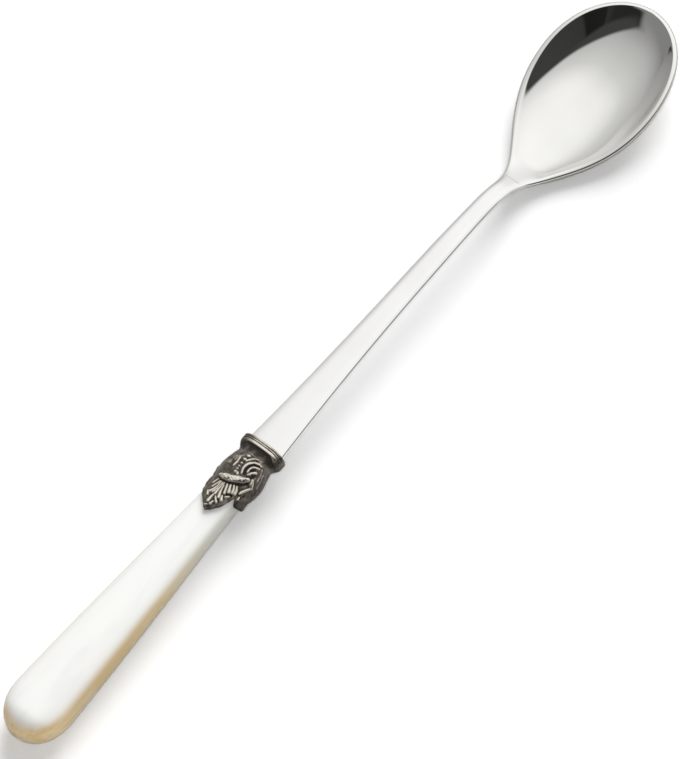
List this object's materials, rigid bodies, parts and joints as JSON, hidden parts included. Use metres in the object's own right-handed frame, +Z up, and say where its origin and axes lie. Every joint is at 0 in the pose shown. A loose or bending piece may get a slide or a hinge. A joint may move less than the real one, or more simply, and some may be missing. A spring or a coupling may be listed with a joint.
{
  "type": "sorbet spoon",
  "caption": "Long-handled sorbet spoon: oval mirror-polished bowl on a slim flat stem, ornate cast ferrule and tapered pearl handle with a rounded butt.",
  "frame": {"origin": "point on the table under the middle of the spoon's length", "axes": "+X along the spoon from the handle butt to the bowl tip, +Z up out of the bowl, +Y to the left of the spoon seen from the butt"},
  "size_m": [0.21, 0.03, 0.0111],
  "materials": {
    "polished_steel": "mirror-polished stainless steel",
    "antiqued_metal": "cast white metal, darkened in the recesses and rubbed bright on the relief",
    "pearl_resin": "glossy pearl, amber along the sides and the butt",
    "cement": "hardened cement, hidden inside the handle"
  },
  "bodies": {
    "root": {"spoon_blank": "polished_steel", "ferrule": "antiqued_metal", "handle": "pearl_resin", "tang_cement": "cement"}
  },
  "joints": []
}
